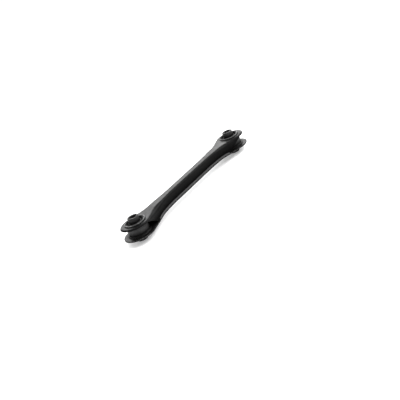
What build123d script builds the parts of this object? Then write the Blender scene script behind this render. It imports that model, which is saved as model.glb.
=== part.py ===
"""Pressed-steel suspension link with a rubber-metal bush in an eye at each end.

The link lies along X. Each bush axis runs along Z, and the origin is midway
between the two axes, at half the height of the eyes. Millimetres.
"""
from build123d import *
import os
from math import atan2, cos, radians, sin, sqrt

os.makedirs("parts", exist_ok=True)

# Driving dimensions of the link
AXIS_SPACING = 300.0        # between the two bush axes
BODY_HEIGHT = 23.2          # over the outer faces of the two ears at one end
SHEET = 2.5                 # pressed sheet
TOP_RISE = 1.0              # the shell's top stands this much above its ears between them
LEDGE_RISE = 2.8            # the lower plate's middle stands this much above its ears
RISE_FLAT = 91.0            # half length of the raised middle
RISE_END = 127.0            # both pressings are back at ear level here
WAIST_HALF_WIDTH = 9.8      # half width of the upper shell along its straight middle
LIP = 2.2                   # how far the lower plate stands out past the shell's walls
LOWER_EAR_EXTRA = 0.7       # how much larger the lower ears are than the upper ones
FLARE_RADIUS = 270.0        # long arc that widens the waist towards each ear
EAR_RADIUS = 28.3           # round ear of the upper shell
EAR_SHIFT = 0.5             # ear centre beyond the bush axis
BEND_RADIUS = 4.5           # outside radius where the shell's top turns down

# Wall cut-away under each upper ear, as distances from the link's middle
CUT_START = 119.0           # the wall is full height up to here
CUT_MID = 131.0
CUT_END = 149.0             # past here only the flat ear is left
CUT_MID_HEIGHT = 0.5        # height of the cut's curve at CUT_MID

# Eyes and bushes
EYE_OUTER_RADIUS = 19.0
EYE_WALL = 2.6
EYE_LENGTH = 27.4
EYE_RIM_ROUND = 0.9
CAN_WALL = 1.6
CAN_LENGTH = 25.4
SLEEVE_RADIUS = 10.0
SLEEVE_LENGTH = 44.0
SLEEVE_BORE_RADIUS = 6.1    # clearance hole for an M12 bolt
SLEEVE_CHAMFER = 0.8
SLEEVE_TEETH = 24           # radial grip teeth on each sleeve face
TOOTH_DEPTH = 0.5
RUBBER_CLEARANCE = 0.05     # rubber bore over the sleeve
RUBBER_HALF_LENGTH = 10.8
RUBBER_CROWN = 1.6          # how far the rubber stands up round the sleeve
RUBBER_LAND = 1.0           # flat ring on top of that crown
VOID_HALF_ANGLE = 38.0      # kidney voids through the rubber, fore and aft
VOID_WIDTH = 2.0

# Welds
SEAM_LEG = 2.2              # weld bead along each wall
SEAM_HALF_LENGTH = 114.0
EYE_WELD_LEG = 2.6          # ring welds where the eyes pass through the pressings

# Cutting solids
REACH = 50.0                # half their width, more than half the link's
MARGIN = 20.0               # how far they run past the link

HALF_HEIGHT = BODY_HEIGHT / 2
INNER_HALF_HEIGHT = HALF_HEIGHT - SHEET
AXIS_X = AXIS_SPACING / 2
EAR_X = AXIS_X + EAR_SHIFT
CAN_RADIUS = EYE_OUTER_RADIUS - EYE_WALL
RUBBER_RADIUS = CAN_RADIUS - CAN_WALL
RUBBER_BORE = SLEEVE_RADIUS + RUBBER_CLEARANCE
ENDS = {"left": -AXIS_X, "right": AXIS_X}


def dog_bone(waist_grow, ear_grow):
    """Plan outline: a straight waist, long flares and round ears, each grown from the shell's."""
    waist = WAIST_HALF_WIDTH + waist_grow
    ear = EAR_RADIUS + ear_grow
    flare = FLARE_RADIUS - waist_grow
    reach = sqrt((flare + ear) ** 2 - (flare + waist) ** 2)
    turn = atan2(reach, flare + waist)           # how far each flare turns before its ear
    start, middle, meet = [
        (EAR_X - reach + flare * sin(angle), waist + flare * (1 - cos(angle)))
        for angle in (0, turn / 2, turn)
    ]
    tip = (EAR_X + ear, 0)
    return make_face([
        Line(turned(start, -1, 1), start),
        ThreePointArc(start, middle, meet),
        ThreePointArc(meet, tip, turned(meet, 1, -1)),
        ThreePointArc(turned(meet, 1, -1), turned(middle, 1, -1), turned(start, 1, -1)),
        Line(turned(start, 1, -1), turned(start, -1, -1)),
        ThreePointArc(turned(start, -1, -1), turned(middle, -1, -1), turned(meet, -1, -1)),
        ThreePointArc(turned(meet, -1, -1), turned(tip, -1, 1), turned(meet, -1, 1)),
        ThreePointArc(turned(meet, -1, 1), turned(middle, -1, 1), turned(start, -1, 1)),
    ])


def turned(point, x_sign, y_sign):
    """The same point in another quarter of the outline."""
    return (point[0] * x_sign, point[1] * y_sign)


def slab(waist_grow, ear_grow, bottom, top):
    """The dog-bone outline as a solid between two heights."""
    return Pos(0, 0, bottom) * extrude(dog_bone(waist_grow, ear_grow), top - bottom)


def under(level, rise):
    """Everything under a surface at level over the ears that swings up by rise between them."""
    low = -HALF_HEIGHT - MARGIN
    run = (RISE_END - RISE_FLAT) / 2             # half the length of each S-shaped step
    radius = (run ** 2 + (rise / 2) ** 2) / rise
    sag = radius - sqrt(radius ** 2 - (run / 2) ** 2)
    end = EAR_X + EAR_RADIUS + MARGIN
    top = level + rise
    middle = (RISE_FLAT + run, level + rise / 2)
    half = [
        Line((0, top), (RISE_FLAT, top)),
        ThreePointArc((RISE_FLAT, top), (RISE_FLAT + run / 2, top - sag), middle),
        ThreePointArc(middle, (RISE_END - run / 2, level + sag), (RISE_END, level)),
        Line((RISE_END, level), (end, level)),
        Line((end, level), (end, low)),
        Line((end, low), (0, low)),
    ]
    area = make_face(half + [mirror(edge, Plane.YZ) for edge in half])
    return extrude(Plane.XZ * area, REACH, both=True)


def below_ledge(offset):
    """Everything under the lower plate's upper face, moved up by offset."""
    return under(-INNER_HALF_HEIGHT + offset, LEDGE_RISE)


def top_outline(solid):
    """Edges round a solid's top, which may be several faces in a row."""
    faces = solid.faces().filter_by(lambda face: face.normal_at().Z > 0.9)
    shared = [edge for face in faces for edge in face.edges()]
    return [edge for edge in shared if sum(edge.is_same(other) for other in shared) == 1]


def crowned_block(shrink, bend):
    """Dog-bone block under the shell's crowned top, smaller all round, with a rounded top edge."""
    block = slab(-shrink, -shrink, -INNER_HALF_HEIGHT - shrink, HALF_HEIGHT + TOP_RISE)
    block = block & under(HALF_HEIGHT - shrink, TOP_RISE)
    return fillet(top_outline(block), bend)


def ring(x, outer, inner, bottom, top):
    height = top - bottom
    middle = (bottom + top) / 2
    return Pos(x, 0, middle) * (Cylinder(outer, height) - Cylinder(inner, height + MARGIN))


def wall_cutter(end):
    """Side-view area under one ear from which the shell's walls are trimmed away."""
    low = -HALF_HEIGHT - MARGIN
    far_x = EAR_X + EAR_RADIUS + MARGIN
    edges = [
        Line((CUT_START, low), (CUT_START, -INNER_HALF_HEIGHT)),
        ThreePointArc(
            (CUT_START, -INNER_HALF_HEIGHT),
            (CUT_MID, CUT_MID_HEIGHT),
            (CUT_END, INNER_HALF_HEIGHT),
        ),
        Line((CUT_END, INNER_HALF_HEIGHT), (far_x, INNER_HALF_HEIGHT)),
        Line((far_x, INNER_HALF_HEIGHT), (far_x, low)),
        Line((far_x, low), (CUT_START, low)),
    ]
    cutter = extrude(Plane.XZ * make_face(edges), REACH, both=True)
    return cutter if end > 0 else mirror(cutter, Plane.YZ)


def upper_shell():
    """Channel pressing, open downwards: a dog-bone top and two side walls, with flat ears."""
    outside = crowned_block(0, BEND_RADIUS)
    inside = crowned_block(SHEET, BEND_RADIUS - SHEET)
    shell = outside - inside - below_ledge(0)
    for x in ENDS.values():
        shell -= wall_cutter(x)
        shell -= Pos(x, 0, HALF_HEIGHT) * Cylinder(EYE_OUTER_RADIUS, 4 * SHEET)
    return shell


def lower_plate():
    """Pressing that closes the channel: low at the ears, raised between them, with a lip."""
    blank = slab(LIP, LOWER_EAR_EXTRA, -HALF_HEIGHT - 1, 0)
    plate = blank & (below_ledge(0) - below_ledge(-SHEET))
    for x in ENDS.values():
        plate -= Pos(x, 0, -HALF_HEIGHT) * Cylinder(EYE_OUTER_RADIUS, 4 * SHEET)
    return plate


def seam_weld(side):
    """Weld bead between one wall of the shell and the lower plate's lip."""
    run = slab(SEAM_LEG, SEAM_LEG, -HALF_HEIGHT, 0) - slab(0, 0, -HALF_HEIGHT, 0)
    bead = run & (below_ledge(SEAM_LEG) - below_ledge(0))
    keep = Pos(0, side * REACH, 0) * Box(2 * SEAM_HALF_LENGTH, 2 * REACH, BODY_HEIGHT)
    return bead & keep


def eye_tube(x):
    """Short steel tube through both pressings, which the bush is pressed into."""
    tube = ring(0, EYE_OUTER_RADIUS, CAN_RADIUS, -EYE_LENGTH / 2, EYE_LENGTH / 2)
    tube = fillet(tube.edges().filter_by(GeomType.CIRCLE), EYE_RIM_ROUND)
    return Pos(x, 0, 0) * tube


def eye_welds(x):
    """Ring welds round the tube on the inner face of each pressing."""
    toe = EYE_OUTER_RADIUS + EYE_WELD_LEG
    section = make_face(Polyline(
        (EYE_OUTER_RADIUS, -INNER_HALF_HEIGHT),
        (toe, -INNER_HALF_HEIGHT),
        (EYE_OUTER_RADIUS, -INNER_HALF_HEIGHT + EYE_WELD_LEG),
        close=True,
    ))
    bead = revolve(Plane.XZ * section, Axis.Z)
    return Compound([Pos(x, 0, 0) * bead, Pos(x, 0, 0) * mirror(bead, Plane.XY)])


def bush_can(x):
    """Thin outer can of the bush, pressed into the eye tube."""
    can = ring(0, CAN_RADIUS, RUBBER_RADIUS, -CAN_LENGTH / 2, CAN_LENGTH / 2)
    rims = can.edges().filter_by(GeomType.CIRCLE)
    can = chamfer(rims.filter_by(lambda edge: edge.radius < CAN_RADIUS - 0.1), CAN_WALL / 3)
    return Pos(x, 0, 0) * can


def bush_rubber(x):
    """Rubber ring between can and sleeve: crowned faces, and a kidney void fore and aft."""
    base = RUBBER_HALF_LENGTH
    crown = base + RUBBER_CROWN
    land = RUBBER_BORE + RUBBER_LAND
    groove_radius = (RUBBER_BORE + RUBBER_RADIUS) / 2
    dip = (groove_radius, base - RUBBER_CROWN)
    edges = [
        Line((RUBBER_BORE, 0), (RUBBER_RADIUS, 0)),
        Line((RUBBER_RADIUS, 0), (RUBBER_RADIUS, base)),
        ThreePointArc((RUBBER_RADIUS, base), dip, (land, crown)),
        Line((land, crown), (RUBBER_BORE, crown)),
        Line((RUBBER_BORE, crown), (RUBBER_BORE, 0)),
    ]
    half = revolve(Plane.XZ * make_face(edges), Axis.Z)
    rubber = half + mirror(half, Plane.XY)
    for facing in (0, 180):
        rubber -= Rot(0, 0, facing) * kidney(groove_radius)
    return Pos(x, 0, 0) * rubber


def kidney(radius):
    """Curved slot through the rubber, centred on +X."""
    sweep_angle = radians(VOID_HALF_ANGLE)
    tip = (radius * cos(sweep_angle), radius * sin(sweep_angle))
    tail = (tip[0], -tip[1])
    spine = ThreePointArc(tail, (radius, 0), tip)
    slot = SlotArc(arc=spine, height=VOID_WIDTH)
    return extrude(slot, 2 * RUBBER_HALF_LENGTH, both=True)


def bush_sleeve(x):
    """Inner steel sleeve that the bolt clamps: its faces carry radial grip teeth."""
    half = SLEEVE_LENGTH / 2
    sleeve = ring(0, SLEEVE_RADIUS, SLEEVE_BORE_RADIUS, -half, half)
    sleeve = chamfer(sleeve.edges().filter_by(GeomType.CIRCLE), SLEEVE_CHAMFER)
    groove = Rot(45, 0, 0) * Box(2 * SLEEVE_RADIUS, TOOTH_DEPTH * sqrt(2), TOOTH_DEPTH * sqrt(2))
    for face_z in (-half, half):
        for step in range(SLEEVE_TEETH // 2):
            turn = 360 / SLEEVE_TEETH * step
            sleeve -= Pos(0, 0, face_z) * Rot(0, 0, turn) * groove
    return Pos(x, 0, 0) * sleeve


nodes = {
    "upper_shell": upper_shell(),
    "lower_plate": lower_plate(),
    "seam_weld_near": seam_weld(-1),
    "seam_weld_far": seam_weld(1),
}
for end_name, end_x in ENDS.items():
    nodes["eye_tube_" + end_name] = eye_tube(end_x)
    nodes["eye_welds_" + end_name] = eye_welds(end_x)
    nodes["bush_can_" + end_name] = bush_can(end_x)
    nodes["bush_rubber_" + end_name] = bush_rubber(end_x)
    nodes["bush_sleeve_" + end_name] = bush_sleeve(end_x)

for node_name, shape in nodes.items():
    export_step(shape, "parts/" + node_name + ".step")
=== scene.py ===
import math

import bmesh
import bpy
from mathutils import Matrix, Vector, noise


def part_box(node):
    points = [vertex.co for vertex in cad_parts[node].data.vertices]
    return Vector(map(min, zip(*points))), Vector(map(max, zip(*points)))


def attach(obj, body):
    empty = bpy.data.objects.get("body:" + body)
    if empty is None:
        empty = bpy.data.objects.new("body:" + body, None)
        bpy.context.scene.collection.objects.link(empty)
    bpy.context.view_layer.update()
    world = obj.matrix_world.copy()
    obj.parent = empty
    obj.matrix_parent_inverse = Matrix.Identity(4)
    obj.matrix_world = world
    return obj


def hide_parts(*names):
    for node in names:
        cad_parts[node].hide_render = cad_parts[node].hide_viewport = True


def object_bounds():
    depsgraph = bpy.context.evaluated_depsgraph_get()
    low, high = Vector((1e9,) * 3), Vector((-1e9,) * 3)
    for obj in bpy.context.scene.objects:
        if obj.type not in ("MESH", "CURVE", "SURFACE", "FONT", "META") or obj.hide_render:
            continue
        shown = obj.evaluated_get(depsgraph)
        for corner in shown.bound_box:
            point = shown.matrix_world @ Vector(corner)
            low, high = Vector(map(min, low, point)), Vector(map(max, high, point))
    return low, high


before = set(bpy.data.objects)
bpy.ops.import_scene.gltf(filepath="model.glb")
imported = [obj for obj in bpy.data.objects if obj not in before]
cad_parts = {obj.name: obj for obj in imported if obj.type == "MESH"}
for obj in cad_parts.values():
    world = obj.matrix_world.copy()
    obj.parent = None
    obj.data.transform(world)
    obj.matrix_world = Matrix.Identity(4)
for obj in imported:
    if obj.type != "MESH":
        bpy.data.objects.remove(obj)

cad_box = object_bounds()

# Places and sizes read from the frame, in metres
shell_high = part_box("upper_shell")[1]
plate_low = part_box("lower_plate")[0]
tube_low, tube_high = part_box("eye_tube_right")
can_low, can_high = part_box("bush_can_right")
rubber_low, rubber_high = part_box("bush_rubber_right")
sleeve_low, sleeve_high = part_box("bush_sleeve_right")

AXIS_X = (tube_low[0] + tube_high[0]) / 2
TUBE_RADIUS = (tube_high[0] - tube_low[0]) / 2
CAN_RADIUS = (can_high[0] - can_low[0]) / 2
RUBBER_RADIUS = (rubber_high[0] - rubber_low[0]) / 2
SLEEVE_RADIUS = (sleeve_high[0] - sleeve_low[0]) / 2
GROUND = cad_box[0][2]

# Heights of the pressings
SHEET = 0.0025
TOP_RISE = 0.0010             # the shell's top stands this much above its ears between them
LEDGE_RISE = 0.0028           # and the lower plate's middle this much above its own ears
EAR_TOP = shell_high[2] - TOP_RISE
EAR_LEDGE = plate_low[2] + SHEET

# Plan outline of the pressings
EAR_RADIUS = 0.0283
EAR_SHIFT = 0.0005            # the ears' arcs are centred this far outside the bush axes
EAR_X = AXIS_X + EAR_SHIFT
WAIST_HALF_WIDTH = 0.0098
FLARE_RADIUS = 0.270
LIP = 0.0022                  # how far the lower plate stands out past the shell's walls
LOWER_EAR_EXTRA = 0.0007      # how much larger the lower ears are than the upper ones
RISE_FLAT = 0.091             # half length of the raised middle
RISE_END = 0.127              # both pressings are back at ear level here

# Bends and the trimmed wall ends of the upper shell
BEND_RADIUS = 0.0045
NECK_BEND_RADIUS = 0.0080     # the bend opens out where the shell widens
NECK_X = 0.107
NECK_SPREAD = 0.016
CUT_START = 0.119             # the wall is full height up to here
CUT_MID = 0.131
CUT_END = 0.149               # past here only the flat ear is left
CUT_MID_HEIGHT = 0.0005
SHELL_RIM_BEVEL = 0.0004
PLATE_RIM_BEVEL = 0.0008
RIM_SEGMENTS = 3
RIM_EDGE_ANGLE = math.radians(40)       # edges that turn further than this are rounded

# Mesh density
EAR_SEAM_X = 0.118            # where the ear's radial mesh meets the waist's straight one
STATION = 0.002
CROSS_STEPS = 14
RADIAL_STEPS = 8
PROFILE_STEPS = 24
EAR_ARC_STEPS = 72
LATHE_STEPS = 144
WELD_RING_STEPS = 360
SEAM_SECTION_STEPS = 10
RING_SECTION_STEPS = 8
SEAM_STEPS_PER_RIPPLE = 5
SLEEVE_FACE_STEPS = 6
TOOTH_STEPS = 12
CAP_STEPS = 10
KIDNEY_STEPS = 28
MERGE = 0.000001              # points nearer than this are one point
SLIVER = 0.000002             # the same for the pressings, and after a cut

# Welds
SEAM_LEG = 0.0022
SEAM_CLIMB = 1.35             # the bead climbs the wall further than it runs out on the lip
SEAM_HALF_LENGTH = 0.114
EYE_WELD_LEG = 0.0026
WELD_TOE_SINK = 0.0001        # how far a bead's toes sink into the steel
WELD_ROOT_SINK = 0.0003       # and its root
SEAM_END_SIZE = 0.08          # the bead's size at its very ends, as a part of its full size
SEAM_FLATNESS = 0.80          # the seam's face at its toes, as a part of its leg
SEAM_BULGE = 0.10             # and what its middle adds
RING_HOLLOW = 0.16            # how much a ring bead's middle falls short of its leg
RIPPLE_PITCH = 0.0017
RIPPLE_HEIGHT = 0.00016
RIPPLE_LAG = 0.4              # how far a ripple trails mid-bead, as a part of the pitch
DRIFT_SCALE = 90              # how fast a bead's height drifts along it, per metre
DRIFT_SHARE = 1.4             # and by how much, in ripple heights

# Bush
SLEEVE_BORE_RADIUS = 0.0061
SLEEVE_CHAMFER = 0.0008
SLEEVE_RIM_BEVEL = 0.00015
SLEEVE_RIM_SEGMENTS = 2
SLEEVE_EDGE_ANGLE = math.radians(35)
SLEEVE_TEETH = 24
TOOTH_DEPTH = 0.0005
TOOTH_HALF_GAP = 0.26         # half a groove's width at the face, as a part of the pitch
CAN_WALL = 0.0016
CAN_CLEARANCE = 0.00002
TUBE_RIM_ROUND = 0.0011
CAN_RIM_ROUND = 0.0006
RUBBER_CLEARANCE = 0.00005
RUBBER_BORE = SLEEVE_RADIUS + RUBBER_CLEARANCE
RUBBER_LIP_DROP = 0.0016      # from the crown at the sleeve down to the lip at the can
RUBBER_GROOVE_DEPTH = 0.0026  # from that lip down to the groove's bottom
VOID_HALF_ANGLE = math.radians(38)
VOID_WIDTH = 0.002
CUTTER_MARGIN = 0.005         # how far the voids' cutters stand out of the rubber

ENDS = {"left": -1, "right": 1}


# ---------------------------------------------------------------- outline

def sign(value):
    """-1 below zero and 1 elsewhere."""
    return -1 if value < 0 else 1


def smooth(value):
    """0 to 1 with soft ends."""
    value = min(1.0, max(0.0, value))
    return value * value * (3 - 2 * value)


def swing(x):
    """1 along the raised middle of both pressings, 0 at the ears."""
    return smooth((RISE_END - abs(x)) / (RISE_END - RISE_FLAT))


def ledge(x):
    """Height of the lower plate's upper face."""
    return EAR_LEDGE + LEDGE_RISE * swing(x)


def crown(x):
    """Height of the shell's top."""
    return EAR_TOP + TOP_RISE * swing(x)


def flare(waist_grow, ear_grow):
    """A long side's waist, flare radius, where the flare starts and how far it turns."""
    waist = WAIST_HALF_WIDTH + waist_grow
    ear = EAR_RADIUS + ear_grow
    radius = FLARE_RADIUS - waist_grow
    reach = math.sqrt((radius + ear) ** 2 - (radius + waist) ** 2)
    return waist, radius, EAR_X - reach, math.atan2(reach, radius + waist)


def long_side(side, x, waist_grow=0.0, ear_grow=0.0):
    """Point of one long side at a station x, and its outward normal."""
    waist, radius, start, _ = flare(waist_grow, ear_grow)
    beyond = abs(x) - start
    if beyond <= 0:
        return Vector((x, side * waist, 0)), Vector((0, side, 0))
    angle = math.asin(beyond / radius)
    y = waist + radius * (1 - math.cos(angle))
    return Vector((x, side * y, 0)), Vector((-sign(x) * math.sin(angle), side * math.cos(angle), 0))


def ear_outline(end, waist_grow=0.0, ear_grow=0.0):
    """Points and normals round one ear, from the far side's seam station to the near side's."""
    ear = EAR_RADIUS + ear_grow
    turn = flare(waist_grow, ear_grow)[3]
    meet_x = EAR_X - ear * math.sin(turn)
    steps = math.ceil((meet_x - EAR_SEAM_X) / STATION)
    samples = []
    for side in (1, -1):
        run = []
        for step in range(steps):
            x = EAR_SEAM_X + (meet_x - EAR_SEAM_X) * step / steps
            run.append(long_side(side, end * x, waist_grow, ear_grow))
        samples.append(run)
    arc = []
    for step in range(EAR_ARC_STEPS + 1):
        angle = (math.pi / 2 + turn) * (1 - 2 * step / EAR_ARC_STEPS)
        normal = Vector((end * math.cos(angle), math.sin(angle), 0))
        arc.append((Vector((end * EAR_X, 0, 0)) + normal * ear, normal))
    return samples[0] + arc + samples[1][::-1]


# ---------------------------------------------------------------- mesh helpers

def add_grid(mesh, rows, close_rows=False, close_columns=False):
    """Quads through equal rows of points; returns the rows of new vertices."""
    made = [[mesh.verts.new(point) for point in row] for row in rows]
    row_count, column_count = len(made), len(made[0])
    for i in range(row_count if close_rows else row_count - 1):
        for j in range(column_count if close_columns else column_count - 1):
            below, right = (i + 1) % row_count, (j + 1) % column_count
            mesh.faces.new((made[i][j], made[i][right], made[below][right], made[below][j]))
    return made


def weld(mesh, distance=MERGE):
    """Joins points that coincide and turns every face the same way."""
    bmesh.ops.remove_doubles(mesh, verts=mesh.verts, dist=distance)
    bmesh.ops.recalc_face_normals(mesh, faces=mesh.faces)


def to_object(name, mesh, material):
    """Smooth-shaded object made of a finished bmesh."""
    data = bpy.data.meshes.new(name)
    mesh.to_mesh(data)
    mesh.free()
    data.shade_smooth()
    data.materials.append(material)
    piece = bpy.data.objects.new(name, data)
    bpy.context.scene.collection.objects.link(piece)
    return piece


def face_up(mesh):
    """Turns an open sheet's normals so that its top looks up."""
    tilt = sum(face.normal.z * face.calc_area() for face in mesh.faces)
    if tilt < 0:
        bmesh.ops.reverse_faces(mesh, faces=mesh.faces)


def round_edges(piece, width, segments, angle):
    """Bevels the edges that turn further than the angle, and evens out the normals."""
    rim = piece.modifiers.new("rim", "BEVEL")
    rim.width = width
    rim.segments = segments
    rim.limit_method = "ANGLE"
    rim.angle_limit = angle
    normals = piece.modifiers.new("normals", "WEIGHTED_NORMAL")
    normals.keep_sharp = True


def thicken(piece, bevel):
    """Gives a sheet its thickness below its outer face, and rounds its cut edges."""
    solid = piece.modifiers.new("sheet", "SOLIDIFY")
    solid.thickness = SHEET
    solid.offset = -1
    solid.use_even_offset = True
    round_edges(piece, bevel, RIM_SEGMENTS, RIM_EDGE_ANGLE)


def apply_modifiers(piece):
    """Makes the modified shape the piece's own mesh, without a cut's slivers and spare points."""
    graph = bpy.context.evaluated_depsgraph_get()
    final = bpy.data.meshes.new_from_object(piece.evaluated_get(graph))
    mesh = bmesh.new()
    mesh.from_mesh(final)
    weld(mesh, SLIVER)
    spare = [vert for vert in mesh.verts if len(vert.link_edges) == 2]
    bmesh.ops.dissolve_verts(mesh, verts=spare)
    mesh.to_mesh(final)
    mesh.free()
    piece.modifiers.clear()
    piece.data = final


def place(piece, node, body):
    """Rides a finished piece on its body in place of its CAD node."""
    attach(piece, body)
    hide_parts(node)


def lathe(name, profile, x, material, steps=LATHE_STEPS, shape=None):
    """Closed profile of (radius, z) points turned about a bush axis; shape may move each point."""
    mesh = bmesh.new()
    rows = []
    for step in range(steps):
        angle = 2 * math.pi * step / steps
        row = []
        for index, (radius, z) in enumerate(profile):
            if shape:
                radius, z = shape(index, radius, z, angle)
            row.append((x + radius * math.cos(angle), radius * math.sin(angle), z))
        rows.append(row)
    add_grid(mesh, rows, close_rows=True, close_columns=True)
    weld(mesh)
    return to_object(name, mesh, material)


def rounded(points, radius, steps=5):
    """Closed profile with each corner replaced by an arc-like curve."""
    result = []
    count = len(points)
    for index in range(count):
        corner = Vector(points[index])
        before = Vector(points[index - 1]) - corner
        after = Vector(points[(index + 1) % count]) - corner
        cut = min(radius, before.length * 0.45, after.length * 0.45)
        start, end = corner + before.normalized() * cut, corner + after.normalized() * cut
        for step in range(steps + 1):
            t = step / steps
            result.append(tuple(start * (1 - t) ** 2 + corner * 2 * t * (1 - t) + end * t * t))
    return result


# ---------------------------------------------------------------- materials

def node_material(name):
    """New material, with its node tree and its shader."""
    material = bpy.data.materials.new(name)
    material.use_nodes = True
    tree = material.node_tree
    return material, tree, tree.nodes["Principled BSDF"]


def texture_noise(tree, scale, detail, roughness=0.55):
    """Noise in object space, where one unit is a metre."""
    coordinates = tree.nodes.new("ShaderNodeTexCoord")
    texture = tree.nodes.new("ShaderNodeTexNoise")
    texture.inputs["Scale"].default_value = scale
    texture.inputs["Detail"].default_value = detail
    texture.inputs["Roughness"].default_value = roughness
    tree.links.new(coordinates.outputs["Object"], texture.inputs["Vector"])
    return texture.outputs["Fac"]


def ramp(tree, source, stops):
    """Colour ramp through (position, colour or grey) stops."""
    node = tree.nodes.new("ShaderNodeValToRGB")
    elements = node.color_ramp.elements
    while len(elements) < len(stops):
        elements.new(0.5)
    for element, (position, value) in zip(elements, stops):
        element.position = position
        element.color = (*value, 1) if isinstance(value, tuple) else (value, value, value, 1)
    tree.links.new(source, node.inputs["Fac"])
    return node.outputs["Color"]


def mixed(tree, factor, first, second):
    """The first colour at factor 0 and the second at 1."""
    node = tree.nodes.new("ShaderNodeMix")
    node.data_type = "RGBA"
    # The colour sockets share their names with the value and vector ones, so they go by number
    first_colour, second_colour, mixed_colour = node.inputs[6], node.inputs[7], node.outputs[2]
    tree.links.new(factor, node.inputs["Factor"])
    tree.links.new(first, first_colour)
    tree.links.new(second, second_colour)
    return mixed_colour


def bump(tree, height, distance, strength, normal=None):
    """Normal bent by a height in parts of the distance, over another bump if one is given."""
    node = tree.nodes.new("ShaderNodeBump")
    node.inputs["Distance"].default_value = distance
    node.inputs["Strength"].default_value = strength
    tree.links.new(height, node.inputs["Height"])
    if normal:
        tree.links.new(normal, node.inputs["Normal"])
    return node.outputs["Normal"]


def product(tree, first, second):
    """Two grey values multiplied."""
    node = tree.nodes.new("ShaderNodeMath")
    node.operation = "MULTIPLY"
    tree.links.new(first, node.inputs[0])
    tree.links.new(second, node.inputs[1])
    return node.outputs[0]


def height_fade(tree, low, high):
    """0 below the low height and 1 above the high one, in metres."""
    coordinates = tree.nodes.new("ShaderNodeTexCoord")
    axes = tree.nodes.new("ShaderNodeSeparateXYZ")
    span = tree.nodes.new("ShaderNodeMapRange")
    span.inputs["From Min"].default_value = low
    span.inputs["From Max"].default_value = high
    tree.links.new(coordinates.outputs["Object"], axes.inputs[0])
    tree.links.new(axes.outputs["Z"], span.inputs["Value"])
    return span.outputs["Result"]


def edge_wear_and_highlight(tree, low, high):
    """1 on convex edges and 0 elsewhere, broken up by noise."""
    geometry = tree.nodes.new("ShaderNodeNewGeometry")
    edge = ramp(tree, geometry.outputs["Pointiness"], [(low, 0.0), (high, 1.0)])
    patch = ramp(tree, texture_noise(tree, 420, 4), [(0.48, 0.0), (0.62, 1.0)])
    return product(tree, edge, patch)


def cavity(tree, reach):
    """1 in the open, falling to 0 in corners and slots; reach is how far it looks, in metres."""
    node = tree.nodes.new("ShaderNodeAmbientOcclusion")
    node.inputs["Distance"].default_value = reach
    node.samples = 12
    return ramp(tree, node.outputs["AO"], [(0.45, 0.0), (0.92, 1.0)])


def painted_shade_tone(tree):
    """Near-black colour for painted shade in corners, slots and at a piece's foot, with faint noise.
    """
    return ramp(tree, texture_noise(tree, 300, 4), [(0.35, 0.001), (0.7, 0.004)])


def coated_steel(name, tones, rough, grain, grain_depth, index,
                 rub_and_highlight=(0.07, 0.11), wear_and_highlight=(0.53, 0.60), foot_shade=None):
    """Black electrocoat: faint tone changes, an orange-peel grain, lighter edges, painted shade in
    corners.

    tones, rough and rub_and_highlight are the lowest and highest base grey, roughness and edge grey;
    the lighter edges are worn coat, and on the eye tube's rims a painted highlight.
    wear_and_highlight is the pointiness at which an edge starts to lighten and is fully light.
    foot_shade is the pair of heights between which painted shade, darker towards the foot of a
    piece, fades out.
    """
    material, tree, shader = node_material(name)
    tone = ramp(tree, texture_noise(tree, 55, 5), [(0.35, tones[0]), (0.68, tones[1])])
    rubbed_and_highlit_grey = ramp(tree, texture_noise(tree, 900, 2), [(0.3, rub_and_highlight[0]), (0.7, rub_and_highlight[1])])
    # Painted shade: ambient occlusion picks the near-black tone in corners, creases and slots
    shade = cavity(tree, 0.010)
    # Painted shade, darker towards the foot of a piece: the mask fades out between the two heights
    if foot_shade:
        shade = product(tree, shade, height_fade(tree, *foot_shade))
    # Lighter convex edges: worn coat, and on the eye tube's rims a painted highlight; near-black
    # painted shade where the shade mask is low
    colour = mixed(tree, edge_wear_and_highlight(tree, *wear_and_highlight), mixed(tree, shade, painted_shade_tone(tree), tone), rubbed_and_highlit_grey)
    tree.links.new(colour, shader.inputs["Base Color"])
    sheen = ramp(tree, texture_noise(tree, 130, 6), [(0.3, rough[0]), (0.7, rough[1])])
    tree.links.new(sheen, shader.inputs["Roughness"])
    wave = bump(tree, texture_noise(tree, 70, 2), 0.0004, 0.12)
    peel = bump(tree, texture_noise(tree, grain, 3), grain_depth, 0.5, wave)
    tree.links.new(peel, shader.inputs["Normal"])
    shader.inputs["IOR"].default_value = index
    # Painted shade in the reflections as well: the specular level drops where the shade mask is low
    gloss = ramp(tree, shade, [(0.0, 0.04), (1.0, 0.5)])
    tree.links.new(gloss, shader.inputs["Specular IOR Level"])
    return material


def rubber_material():
    """Moulded black rubber: dull, faintly dusty and finely pitted."""
    material, tree, shader = node_material("bush_rubber")
    bloom = ramp(tree, texture_noise(tree, 260, 6), [(0.35, 0.010), (0.75, 0.030)])
    tree.links.new(bloom, shader.inputs["Base Color"])
    dull = ramp(tree, texture_noise(tree, 500, 4), [(0.3, 0.62), (0.7, 0.82)])
    tree.links.new(dull, shader.inputs["Roughness"])
    pits = bump(tree, texture_noise(tree, 2200, 4), 0.00006, 0.6)
    tree.links.new(pits, shader.inputs["Normal"])
    shader.inputs["Specular IOR Level"].default_value = 0.35
    shader.inputs["IOR"].default_value = 1.25
    return material


def floor_material():
    """Matt white with a faint glow, so that it reads as plain white."""
    material, tree, shader = node_material("studio_floor")
    tone = ramp(tree, texture_noise(tree, 3, 2), [(0.3, 0.80), (0.7, 0.82)])
    tree.links.new(tone, shader.inputs["Base Color"])
    shader.inputs["Roughness"].default_value = 0.9
    shader.inputs["Specular IOR Level"].default_value = 0.1
    shader.inputs["Emission Color"].default_value = (1, 1, 1, 1)
    shader.inputs["Emission Strength"].default_value = 0.30
    return material


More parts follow.
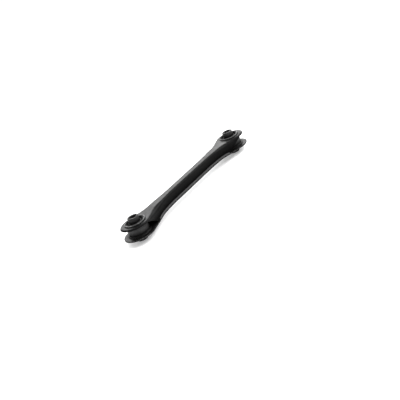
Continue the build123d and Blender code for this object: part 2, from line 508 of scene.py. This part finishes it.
BODY_COAT = coated_steel(
    "body_coat", (0.006, 0.010), (0.34, 0.44), 1500, 0.00003, 1.14,
    rub_and_highlight=(0.10, 0.16), wear_and_highlight=(0.515, 0.56),
)
# A darker copy of the body coat, with painted shade darker towards the wall's foot, so that the
# shell's walls read darker
SHADED_SHELL_COAT = coated_steel(
    "shaded_shell_coat", (0.0018, 0.0034), (0.34, 0.44), 1500, 0.00003, 1.14,
    foot_shade=(-0.002, 0.010),
)
WELD_COAT = coated_steel("weld_coat", (0.010, 0.018), (0.38, 0.52), 900, 0.00008, 1.45)
# Painted highlight on the rims from the bright edge grey, and painted shade darker towards the
# tube's lower end
TUBE_COAT = coated_steel(
    "tube_coat", (0.045, 0.080), (0.36, 0.48), 1700, 0.00003, 1.15,
    rub_and_highlight=(0.24, 0.36), wear_and_highlight=(0.515, 0.545), foot_shade=(-0.007, 0.006),
)
# A darker copy of the weld coat: painted shade over the eye welds
SHADED_EYE_WELD_COAT = coated_steel("shaded_eye_weld_coat", (0.003, 0.007), (0.38, 0.52), 900, 0.00008, 1.20)
CAN_STEEL = coated_steel("can_steel", (0.008, 0.014), (0.40, 0.55), 1900, 0.00003, 1.15)
SLEEVE_STEEL = coated_steel("sleeve_steel", (0.016, 0.026), (0.36, 0.50), 2100, 0.00003, 1.25)
BUSH_RUBBER = rubber_material()


# ---------------------------------------------------------------- pressings

def bend_radius(x):
    """The top's bend radius, which opens out at each neck."""
    away = (abs(x) - NECK_X) / NECK_SPREAD
    return BEND_RADIUS + (NECK_BEND_RADIUS - BEND_RADIUS) * math.exp(-away * away)


def cut_circle():
    """Centre and radius of the arc that trims the wall under each ear."""
    low = Vector((CUT_START, EAR_LEDGE))
    mid = Vector((CUT_MID, CUT_MID_HEIGHT))
    high = Vector((CUT_END, EAR_TOP - SHEET))
    a, b = mid - low, high - low
    double_cross = 2 * (a.x * b.y - a.y * b.x)
    shift = Vector((
        b.y * a.length_squared - a.y * b.length_squared,
        a.x * b.length_squared - b.x * a.length_squared,
    )) / double_cross
    return low + shift, shift.length


CUT_CENTRE, CUT_RADIUS = cut_circle()


def wall_foot(x):
    """Height of the wall's lower edge at a station."""
    x = abs(x)
    if x <= CUT_START:
        return ledge(x)
    if x >= CUT_END:
        return EAR_TOP - SHEET
    rise = math.sqrt(max(0.0, CUT_RADIUS ** 2 - (x - CUT_CENTRE.x) ** 2))
    return max(ledge(x), CUT_CENTRE.y + rise)


def bent_column(point, normal):
    """Points from the flat top, round the bend and down the wall at one outline point."""
    radius = bend_radius(point.x)
    top = crown(point.x)
    drop = top - wall_foot(point.x)
    full_turn = drop >= radius
    turn = math.pi / 2 if full_turn else math.acos(1 - drop / radius)
    arc_length = radius * turn
    length = arc_length + (drop - radius if full_turn else 0)
    column = []
    for step in range(PROFILE_STEPS + 1):
        along = length * step / PROFILE_STEPS
        if along <= arc_length:
            angle = along / radius
            inset = radius * (1 - math.sin(angle))
            z = top - radius * (1 - math.cos(angle))
        else:
            inset = 0.0
            z = top - radius - (along - arc_length)
        moved = point - normal * inset
        column.append(Vector((moved.x, moved.y, z)))
    return column


def on_face(point, normal, height, inset):
    """An outline point moved in by the inset and up to the face."""
    moved = point - normal * inset(point.x)
    return Vector((moved.x, moved.y, height(point.x)))


def stations():
    """Evenly spaced x along the waist, from one ear's radial mesh to the other's."""
    count = round(2 * EAR_SEAM_X / STATION)
    return [-EAR_SEAM_X + 2 * EAR_SEAM_X * step / count for step in range(count + 1)]


def cross_line(x, height, inset, grow):
    """Points straight across a face at one station, far side first."""
    far, near = [on_face(*long_side(side, x, *grow), height, inset) for side in (1, -1)]
    return [far.lerp(near, step / CROSS_STEPS) for step in range(CROSS_STEPS + 1)]


def dog_bone_face(mesh, height, inset, grow=(0.0, 0.0)):
    """The outline's face at a height that follows x, with the two eye holes left open."""
    add_grid(mesh, [cross_line(x, height, inset, grow) for x in stations()])
    for end in ENDS.values():
        centre = Vector((end * AXIS_X, 0, height(AXIS_X)))
        rim = [on_face(*sample, height, inset) for sample in ear_outline(end, *grow)]
        back = cross_line(end * EAR_SEAM_X, height, inset, grow)[::-1]
        loop = rim + back[:-1]
        rows = []
        for outer in loop:
            inner = centre + (outer - centre).normalized() * TUBE_RADIUS
            rows.append([inner.lerp(outer, step / RADIAL_STEPS) for step in range(RADIAL_STEPS + 1)])
        add_grid(mesh, rows, close_rows=True)


def build_upper_shell():
    """The channel pressing: its top, its two walls, and its ears with their turned-down rims."""
    mesh = bmesh.new()
    dog_bone_face(mesh, crown, bend_radius)
    for side in (1, -1):
        add_grid(mesh, [bent_column(*long_side(side, x)) for x in stations()])
    for end in ENDS.values():
        columns = [bent_column(*sample) for sample in ear_outline(end)]
        columns.append(bent_column(*long_side(-1, end * EAR_SEAM_X)))
        add_grid(mesh, columns)
    weld(mesh, SLIVER)
    face_up(mesh)
    piece = to_object("upper_shell_pressing", mesh, SHADED_SHELL_COAT)
    thicken(piece, SHELL_RIM_BEVEL)
    place(piece, "upper_shell", "arm")


def build_lower_plate():
    """The pressing that closes the channel: raised between its ears, with a lip."""
    mesh = bmesh.new()
    dog_bone_face(mesh, ledge, lambda x: 0.0, (LIP, LOWER_EAR_EXTRA))
    weld(mesh, SLIVER)
    face_up(mesh)
    piece = to_object("lower_plate_pressing", mesh, BODY_COAT)
    thicken(piece, PLATE_RIM_BEVEL)
    place(piece, "lower_plate", "arm")


# ---------------------------------------------------------------- welds

def ripple(along, seed):
    """Height of a weld bead's surface along its run."""
    chevron = abs(math.sin(math.pi * along / RIPPLE_PITCH))
    drift = noise.noise(Vector((along * DRIFT_SCALE, seed, 0)))
    return RIPPLE_HEIGHT * (chevron + DRIFT_SHARE * drift)


def build_seam_weld(side):
    """Fillet bead along one wall, with rounded ends and a rippled face."""
    mesh = bmesh.new()
    steps = round(2 * SEAM_HALF_LENGTH / (RIPPLE_PITCH / SEAM_STEPS_PER_RIPPLE))
    rows = []
    for step in range(steps + 1):
        x = -SEAM_HALF_LENGTH + 2 * SEAM_HALF_LENGTH * step / steps
        point, normal = long_side(side, x)
        foot = ledge(x)
        into_end = max(0.0, (abs(x) - SEAM_HALF_LENGTH + SEAM_LEG) / SEAM_LEG)
        end_fade = math.sqrt(max(0.0, 1 - into_end ** 2))
        size = SEAM_END_SIZE + (1 - SEAM_END_SIZE) * end_fade
        leg = (SEAM_LEG + ripple(x, 3.0 * side)) * size
        row = [point + Vector((0, 0, foot - WELD_TOE_SINK)) - normal * WELD_ROOT_SINK]
        for index in range(SEAM_SECTION_STEPS + 1):
            angle = math.pi / 2 * index / SEAM_SECTION_STEPS
            bulge = math.sin(2 * angle)
            lag = RIPPLE_PITCH * RIPPLE_LAG * bulge
            belly = leg * (SEAM_FLATNESS + SEAM_BULGE * bulge) + ripple(x + lag, side) * bulge
            out, up = belly * math.cos(angle), SEAM_CLIMB * belly * math.sin(angle)
            if index == 0:
                out, up = leg, 0.0
            elif index == SEAM_SECTION_STEPS:
                out, up = 0.0, SEAM_CLIMB * leg
            row.append(point + normal * (out - WELD_TOE_SINK) + Vector((0, 0, foot + up)))
        rows.append(row)
    made = add_grid(mesh, rows, close_columns=True)
    mesh.faces.new(made[0])
    mesh.faces.new(made[-1])
    weld(mesh)
    name = "near" if side < 0 else "far"
    piece = to_object("seam_weld_bead_" + name, mesh, WELD_COAT)
    place(piece, "seam_weld_" + name, "arm")


def ring_weld_section(along, seed):
    """Points of (run out, height) round one ring bead's section, its root last."""
    section = []
    for index in range(RING_SECTION_STEPS + 1):
        turn = math.pi / 2 * index / RING_SECTION_STEPS
        bulge = math.sin(2 * turn)
        leg = EYE_WELD_LEG * (1 - RING_HOLLOW * bulge) + ripple(along, seed) * bulge
        out, up = leg * math.cos(turn), leg * math.sin(turn)
        section.append((out - WELD_TOE_SINK, up - WELD_TOE_SINK))
    return section + [(-WELD_ROOT_SINK, -WELD_TOE_SINK)]


def build_eye_welds(name, end):
    """Two ring beads where the eye tube passes through the pressings."""
    mesh = bmesh.new()
    for facing, level in ((1, EAR_LEDGE), (-1, EAR_TOP - SHEET)):
        rows = []
        for step in range(WELD_RING_STEPS):
            angle = 2 * math.pi * step / WELD_RING_STEPS
            row = []
            for out, up in ring_weld_section(angle * TUBE_RADIUS, 7.0 + facing):
                radius = TUBE_RADIUS + out
                x = end * AXIS_X + radius * math.cos(angle)
                row.append((x, radius * math.sin(angle), level + facing * up))
            rows.append(row)
        add_grid(mesh, rows, close_rows=True, close_columns=True)
    weld(mesh)
    piece = to_object("eye_weld_beads_" + name, mesh, SHADED_EYE_WELD_COAT)
    place(piece, "eye_welds_" + name, "arm")


# ---------------------------------------------------------------- eyes and bushes

def pipe_profile(inner, outer, half, rim_round):
    """Closed profile of a plain pipe with rounded rims."""
    corners = [(inner, -half), (outer, -half), (outer, half), (inner, half)]
    return rounded(corners, rim_round)


def build_eye_tube(name, end):
    """Short steel tube that passes through both pressings."""
    profile = pipe_profile(CAN_RADIUS, TUBE_RADIUS, tube_high[2], TUBE_RIM_ROUND)
    piece = lathe("eye_tube_turned_" + name, profile, end * AXIS_X, TUBE_COAT)
    place(piece, "eye_tube_" + name, "arm")


def build_bush_can(name, end):
    """Thin outer shell of a bush, just inside the eye tube."""
    inner, outer = CAN_RADIUS - CAN_WALL, CAN_RADIUS - CAN_CLEARANCE
    profile = pipe_profile(inner, outer, can_high[2], CAN_RIM_ROUND)
    piece = lathe("bush_can_rolled_" + name, profile, end * AXIS_X, CAN_STEEL)
    place(piece, "bush_can_" + name, "arm")


def rubber_profile():
    """The rubber's section, crowned at the sleeve and grooved next to the can."""
    peak = rubber_high[2]
    lip = peak - RUBBER_LIP_DROP
    groove = lip - RUBBER_GROOVE_DEPTH
    inner, outer = RUBBER_BORE, RUBBER_RADIUS
    width = outer - inner
    upper = [
        (inner, peak - 0.0006),
        (inner + 0.10 * width, peak - 0.0001),
        (inner + 0.26 * width, peak - 0.0005),
        (inner + 0.40 * width, lip - 0.0006),
        (inner + 0.56 * width, groove + 0.0004),
        (inner + 0.72 * width, groove),
        (inner + 0.86 * width, groove + 0.0008),
        (inner + 0.95 * width, lip),
        (outer, lip + 0.0003),
    ]
    lower = [(radius, -z) for radius, z in reversed(upper)]
    return upper + [(outer, 0.0)] + lower + [(inner, 0.0)]


def arc_points(centre, radius, start, turn, steps):
    """Points of a plan arc, both ends included."""
    angles = [start + turn * step / steps for step in range(steps + 1)]
    return [
        (centre[0] + radius * math.cos(angle), centre[1] + radius * math.sin(angle))
        for angle in angles
    ]


def kidney_cutter(x, facing):
    """Curved slot through the rubber, with round ends."""
    radius = (RUBBER_BORE + RUBBER_RADIUS) / 2
    half_width = VOID_WIDTH / 2
    half_angle = VOID_HALF_ANGLE
    tip = (radius * math.cos(half_angle), radius * math.sin(half_angle))
    tail = (radius * math.cos(-half_angle), radius * math.sin(-half_angle))
    loop = arc_points((0, 0), radius + half_width, -half_angle, 2 * half_angle, KIDNEY_STEPS)
    loop += arc_points(tip, half_width, half_angle, math.pi, CAP_STEPS)[1:-1]
    loop += arc_points((0, 0), radius - half_width, half_angle, -2 * half_angle, KIDNEY_STEPS)
    loop += arc_points(tail, half_width, math.pi - half_angle, math.pi, CAP_STEPS)[1:-1]
    mesh = bmesh.new()
    height = rubber_high[2] + CUTTER_MARGIN
    rows = [[(x + facing * px, facing * py, z) for px, py in loop] for z in (-height, height)]
    made = add_grid(mesh, rows, close_columns=True)
    mesh.faces.new(made[0])
    mesh.faces.new(made[1])
    weld(mesh)
    return to_object("kidney_cutter", mesh, BUSH_RUBBER)


def build_bush_rubber(name, end):
    """Moulded ring with its two kidney voids cut through."""
    piece = lathe("bush_rubber_moulded_" + name, rubber_profile(), end * AXIS_X, BUSH_RUBBER)
    cutters = [kidney_cutter(end * AXIS_X, facing) for facing in (1, -1)]
    for cutter in cutters:
        cut = piece.modifiers.new("void", "BOOLEAN")
        cut.operation = "DIFFERENCE"
        cut.solver = "EXACT"
        cut.object = cutter
    apply_modifiers(piece)
    for cutter in cutters:
        bpy.data.objects.remove(cutter)
    place(piece, "bush_rubber_" + name, "arm")


def build_bush_sleeve(name, end):
    """Sleeve with chamfered ends and radial grip teeth pressed into both faces."""
    half = sleeve_high[2]
    bore, outer, chamfer = SLEEVE_BORE_RADIUS, SLEEVE_RADIUS, SLEEVE_CHAMFER
    upper = [(outer, half - chamfer)]
    for index in range(SLEEVE_FACE_STEPS + 1):
        radius = outer - chamfer - (outer - bore - 2 * chamfer) * index / SLEEVE_FACE_STEPS
        upper.append((radius, half))
    upper.append((bore, half - chamfer))
    profile = upper + [(radius, -z) for radius, z in reversed(upper)]
    toothed = range(1, SLEEVE_FACE_STEPS + 2)
    last = len(profile) - 1

    def shape(index, radius, z, angle):
        mirrored = last - index
        if index in toothed or mirrored in toothed:
            phase = angle * SLEEVE_TEETH / (2 * math.pi) % 1
            valley = max(0.0, 1 - abs(phase - 0.5) / TOOTH_HALF_GAP)
            z -= sign(z) * TOOTH_DEPTH * smooth(valley)
        return radius, z

    steps = SLEEVE_TEETH * TOOTH_STEPS
    piece = lathe("bush_sleeve_turned_" + name, profile, end * AXIS_X, SLEEVE_STEEL, steps, shape)
    round_edges(piece, SLEEVE_RIM_BEVEL, SLEEVE_RIM_SEGMENTS, SLEEVE_EDGE_ANGLE)
    place(piece, "bush_sleeve_" + name, name + "_sleeve")


build_upper_shell()
build_lower_plate()
for weld_side in (-1, 1):
    build_seam_weld(weld_side)
for end_name, end_sign in ENDS.items():
    build_eye_tube(end_name, end_sign)
    build_eye_welds(end_name, end_sign)
    build_bush_can(end_name, end_sign)
    build_bush_rubber(end_name, end_sign)
    build_bush_sleeve(end_name, end_sign)


# ---------------------------------------------------------------- studio

FLOOR_HALF_WIDTH = 12.0
CAMERA_AZIMUTH = math.radians(44.11)
CAMERA_ELEVATION = math.radians(21.76)
CAMERA_ROLL = math.radians(-24.59)
CAMERA_DISTANCE = 1.2691
CAMERA_LENS = 63.2
CAMERA_SENSOR = 36.0
CAMERA_MOVE = (0.02194, -0.03405)       # metres to its own right and up


def build_floor():
    """Pale level floor."""
    half = FLOOR_HALF_WIDTH
    mesh = bmesh.new()
    add_grid(mesh, [[(x, y, GROUND) for y in (-half, half)] for x in (-half, half)])
    face_up(mesh)
    to_object("studio_floor", mesh, floor_material())


def soft_light(name, location, target, size, power):
    """Rectangular softbox aimed at a point, with its sides in metres and its power in watts."""
    data = bpy.data.lights.new(name, "AREA")
    data.shape = "RECTANGLE"
    data.size, data.size_y = size
    data.energy = power
    light = bpy.data.objects.new(name, data)
    light.location = location
    aim = Vector(target) - Vector(location)
    light.rotation_euler = aim.to_track_quat("-Z", "Y").to_euler()
    bpy.context.scene.collection.objects.link(light)


def build_camera():
    """Camera on a line through the origin, then moved sideways in its own plane."""
    azimuth, elevation = CAMERA_AZIMUTH, CAMERA_ELEVATION
    back = Vector((
        -math.sin(azimuth) * math.cos(elevation),
        -math.cos(azimuth) * math.cos(elevation),
        math.sin(elevation),
    ))
    level = Vector((math.cos(azimuth), -math.sin(azimuth), 0))
    upright = back.cross(level)
    right = level * math.cos(CAMERA_ROLL) + upright * math.sin(CAMERA_ROLL)
    up = upright * math.cos(CAMERA_ROLL) - level * math.sin(CAMERA_ROLL)
    location = back * CAMERA_DISTANCE + right * CAMERA_MOVE[0] + up * CAMERA_MOVE[1]
    data = bpy.data.cameras.new("camera")
    data.lens = CAMERA_LENS
    data.sensor_width = CAMERA_SENSOR
    data.clip_start, data.clip_end = 0.01, 50
    camera = bpy.data.objects.new("camera", data)
    turn = Matrix((right, up, back)).transposed()
    camera.matrix_world = Matrix.Translation(location) @ turn.to_4x4()
    bpy.context.scene.collection.objects.link(camera)
    bpy.context.scene.camera = camera


def build_world():
    """Plain white surroundings."""
    world = bpy.data.worlds.new("studio")
    world.use_nodes = True
    background = world.node_tree.nodes["Background"]
    background.inputs["Color"].default_value = (1, 1, 1, 1)
    background.inputs["Strength"].default_value = 1.05
    bpy.context.scene.world = world
    bpy.context.scene.view_settings.view_transform = "Standard"


build_floor()
build_camera()
build_world()
soft_light("top_softbox", (-0.1, -0.1, 1.7), (0, 0, 0), (0.8, 0.8), 5)
soft_light("side_softbox", (1.3, -0.75, 1.35), (0, 0, 0), (0.9, 0.9), 22)
soft_light("back_softbox", (1.12, 1.53, 0.75), (0, 0, 0), (1.6, 1.0), 28)
soft_light("right_softbox", (1.75, 0.15, 0.65), (0, 0, 0), (1.0, 0.8), 10)
soft_light("front_softbox", (0.1, -1.2, 1.1), (0.05, 0, 0), (0.45, 0.40), 9)
